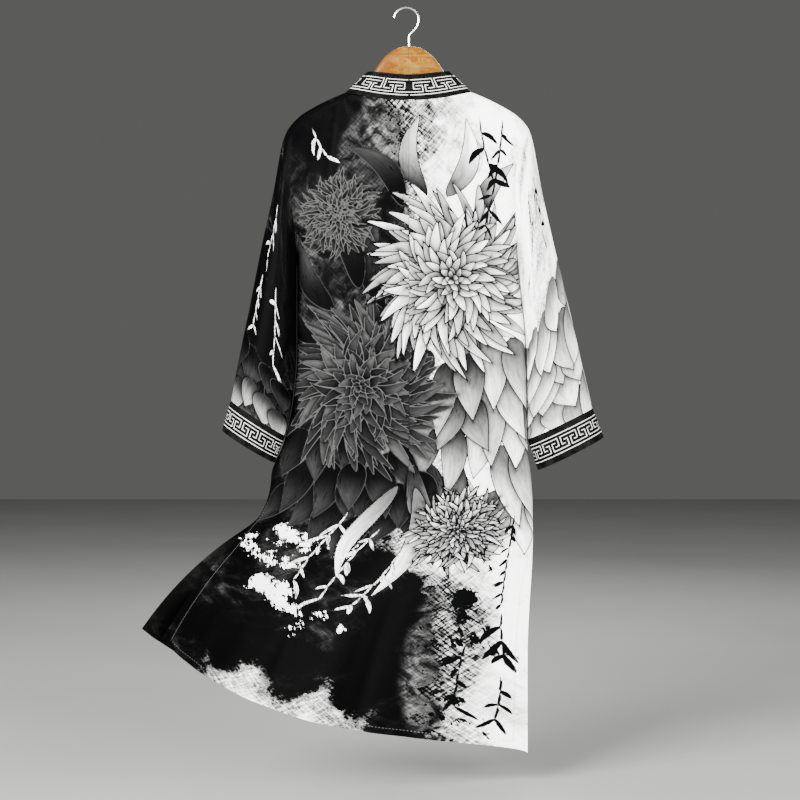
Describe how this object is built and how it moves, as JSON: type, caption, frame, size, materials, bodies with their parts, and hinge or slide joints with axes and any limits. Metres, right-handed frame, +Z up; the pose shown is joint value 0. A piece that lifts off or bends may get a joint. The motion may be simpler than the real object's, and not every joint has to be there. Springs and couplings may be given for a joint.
{
  "type": "kimono on a wooden hanger",
  "caption": "Long open kimono robe with black key-fret collar and cuffs, dark left and pale right halves, hanging from a wooden hanger while wind lifts its hem.",
  "frame": {"origin": "the point inside the top of the hook where a rail or peg carries the hanger", "axes": "+Z up, -Y out of the robe's back, +X to the right of someone who stands behind it"},
  "size_m": [0.8117, 0.4081, 1.374],
  "materials": {
    "dark_satin": "soft satin sheen, printed",
    "light_satin": "soft satin sheen, printed",
    "band_satin": "soft satin sheen, printed with a pale key fret",
    "hanger_wood": "clear satin varnish",
    "hook_steel": "bright plated wire"
  },
  "bodies": {
    "root": {"back_left": "dark_satin", "front_left": "dark_satin", "sleeve_left": "dark_satin", "back_right": "light_satin", "front_right": "light_satin", "sleeve_right": "light_satin", "collar_upper_left": "band_satin", "collar_upper_right": "band_satin", "collar_lower_left": "band_satin", "collar_lower_right": "band_satin", "cuff_left": "band_satin", "cuff_right": "band_satin", "hanger": "hanger_wood", "hanger_hook": "hook_steel"}
  },
  "joints": []
}
